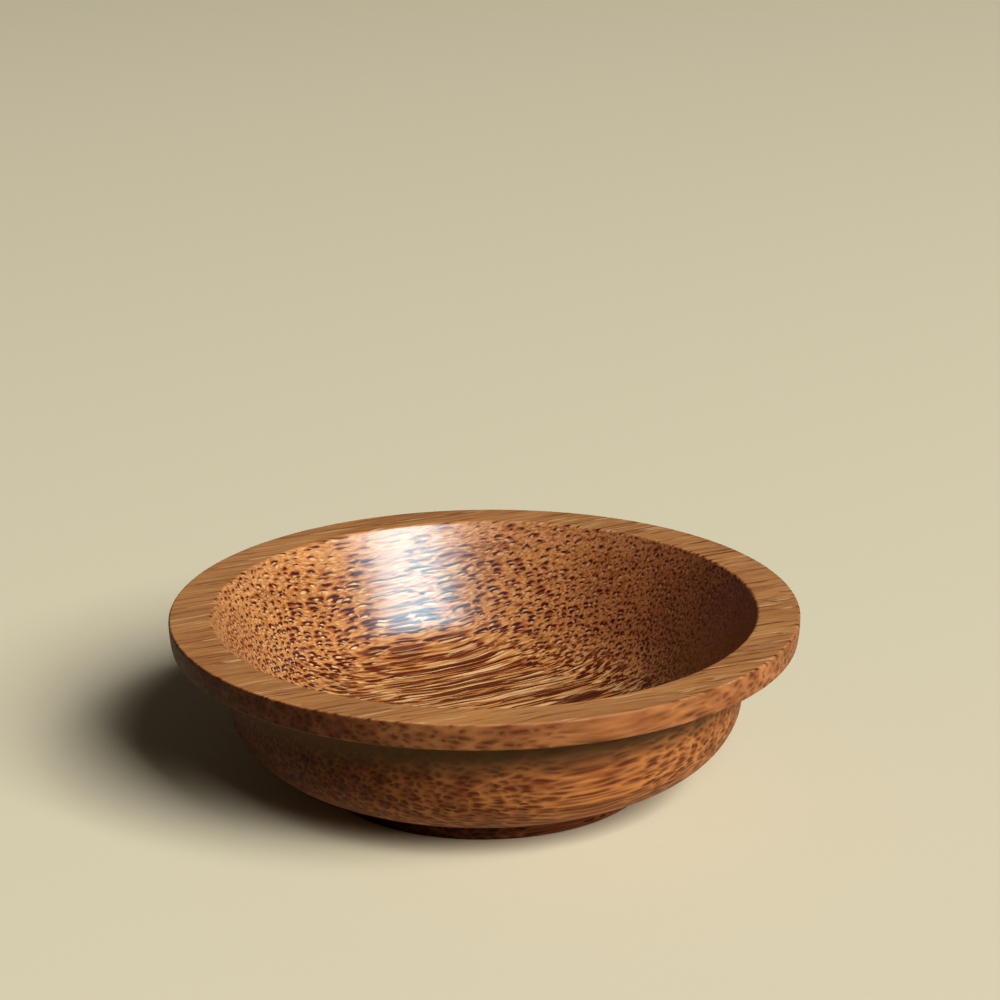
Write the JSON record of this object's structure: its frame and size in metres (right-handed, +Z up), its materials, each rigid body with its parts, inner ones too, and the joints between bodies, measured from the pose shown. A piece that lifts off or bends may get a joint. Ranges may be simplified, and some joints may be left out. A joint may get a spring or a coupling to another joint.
{
  "type": "wooden bowl",
  "caption": "Small turned wooden bowl with a flat flanged rim, a rounded belly and a low foot ring, for holding food or small things.",
  "frame": {"origin": "on the table, under the middle of the foot ring", "axes": "+Z up along the bowl's turning axis, +X to the right and +Y away from the viewer of the picture"},
  "size_m": [0.13, 0.13, 0.0371],
  "materials": {
    "rim_wood": "palm wood with fine streaks, clear semi-gloss lacquer",
    "body_wood": "palm wood with dark fibre bundles, clear semi-gloss lacquer",
    "foot_wood": "palm wood, clear satin lacquer, bare where it meets the table"
  },
  "bodies": {
    "root": {"rim_ring": "rim_wood", "bowl_body": "body_wood", "foot_ring": "foot_wood"}
  },
  "joints": []
}
